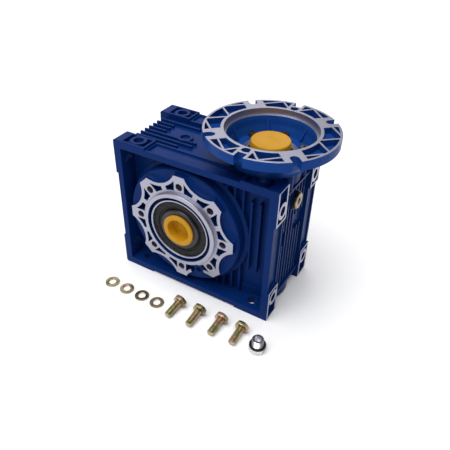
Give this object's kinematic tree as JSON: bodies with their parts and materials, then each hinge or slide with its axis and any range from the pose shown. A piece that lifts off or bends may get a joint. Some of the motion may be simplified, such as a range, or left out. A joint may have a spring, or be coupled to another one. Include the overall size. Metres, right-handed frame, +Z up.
{
  "type": "worm gear reducer",
  "caption": "Worm gear reducer in a finned square housing with foot pads all round, star-faced side covers, hollow output shaft with plastic caps and an open-web motor flange on top",
  "frame": {"origin": "on the output shaft's axis, half way along its bore", "axes": "+X from the output axis to the worm's axis, +Y along the output bore from the cast-on cover to the bolted one, +Z up along the worm to the motor flange"},
  "size_m": [0.2755, 0.2127, 0.2464],
  "materials": {
    "blue_casting": "die cast aluminium under glossy deep blue paint, machined faces bare",
    "steel": "turned and ground steel",
    "bearing_steel": "ground bearing steel",
    "bronze": "hobbed bronze",
    "black_rubber": "black nitrile rubber",
    "yellow_plastic": "moulded yellow plastic",
    "zinc_yellow": "yellow passivated zinc plating on steel",
    "nickel": "nickel plated steel"
  },
  "bodies": {
    "case": {"housing": "blue_casting", "rear_cover": "blue_casting", "input_flange": "blue_casting", "cover_o_ring": "black_rubber", "rear_cover_screws": "zinc_yellow", "input_flange_screws": "zinc_yellow", "front_bearing_outer_ring": "bearing_steel", "rear_bearing_outer_ring": "bearing_steel", "upper_worm_bearing_outer_ring": "bearing_steel", "lower_worm_bearing_outer_ring": "bearing_steel", "front_oil_seal": "black_rubber", "rear_oil_seal": "black_rubber", "input_oil_seal": "black_rubber", "worm_circlips": "steel", "worm_end_cap": "black_rubber", "level_plug": "nickel", "level_plug_gasket": "black_rubber", "mounting_washers": "zinc_yellow", "mounting_bolts": "zinc_yellow", "breather_plug": "nickel", "breather_o_ring": "black_rubber"},
    "output_shaft": {"hollow_shaft": "steel", "worm_wheel": "bronze", "front_bearing_inner_ring": "bearing_steel", "rear_bearing_inner_ring": "bearing_steel"},
    "worm": {"worm": "steel", "upper_worm_bearing_inner_ring": "bearing_steel", "lower_worm_bearing_inner_ring": "bearing_steel"},
    "front_cap": {"front_bore_cap": "yellow_plastic"},
    "rear_cap": {"rear_bore_cap": "yellow_plastic"},
    "input_cap": {"input_cap": "yellow_plastic"}
  },
  "joints": [
    {"name": "output_spin", "type": "hinge", "parent": "case", "child": "output_shaft", "pos_m": [0, 0, 0], "axis": [0, 1, 0], "continuous": true},
    {"name": "worm_spin", "type": "hinge", "parent": "case", "child": "worm", "pos_m": [0.09, 0, 0], "axis": [0, 0, 1], "continuous": true},
    {"name": "front_cap_pull", "type": "slide", "parent": "output_shaft", "child": "front_cap", "axis": [0, -1, 0], "range_m": [0, 0.15]},
    {"name": "rear_cap_pull", "type": "slide", "parent": "output_shaft", "child": "rear_cap", "axis": [0, 1, 0], "range_m": [0, 0.15]},
    {"name": "input_cap_pull", "type": "slide", "parent": "worm", "child": "input_cap", "axis": [0, 0, 1], "range_m": [0, 0.15]}
  ],
  "couplings": [
    {"joint": "worm_spin", "follows": "output_spin", "ratio": 30}
  ]
}
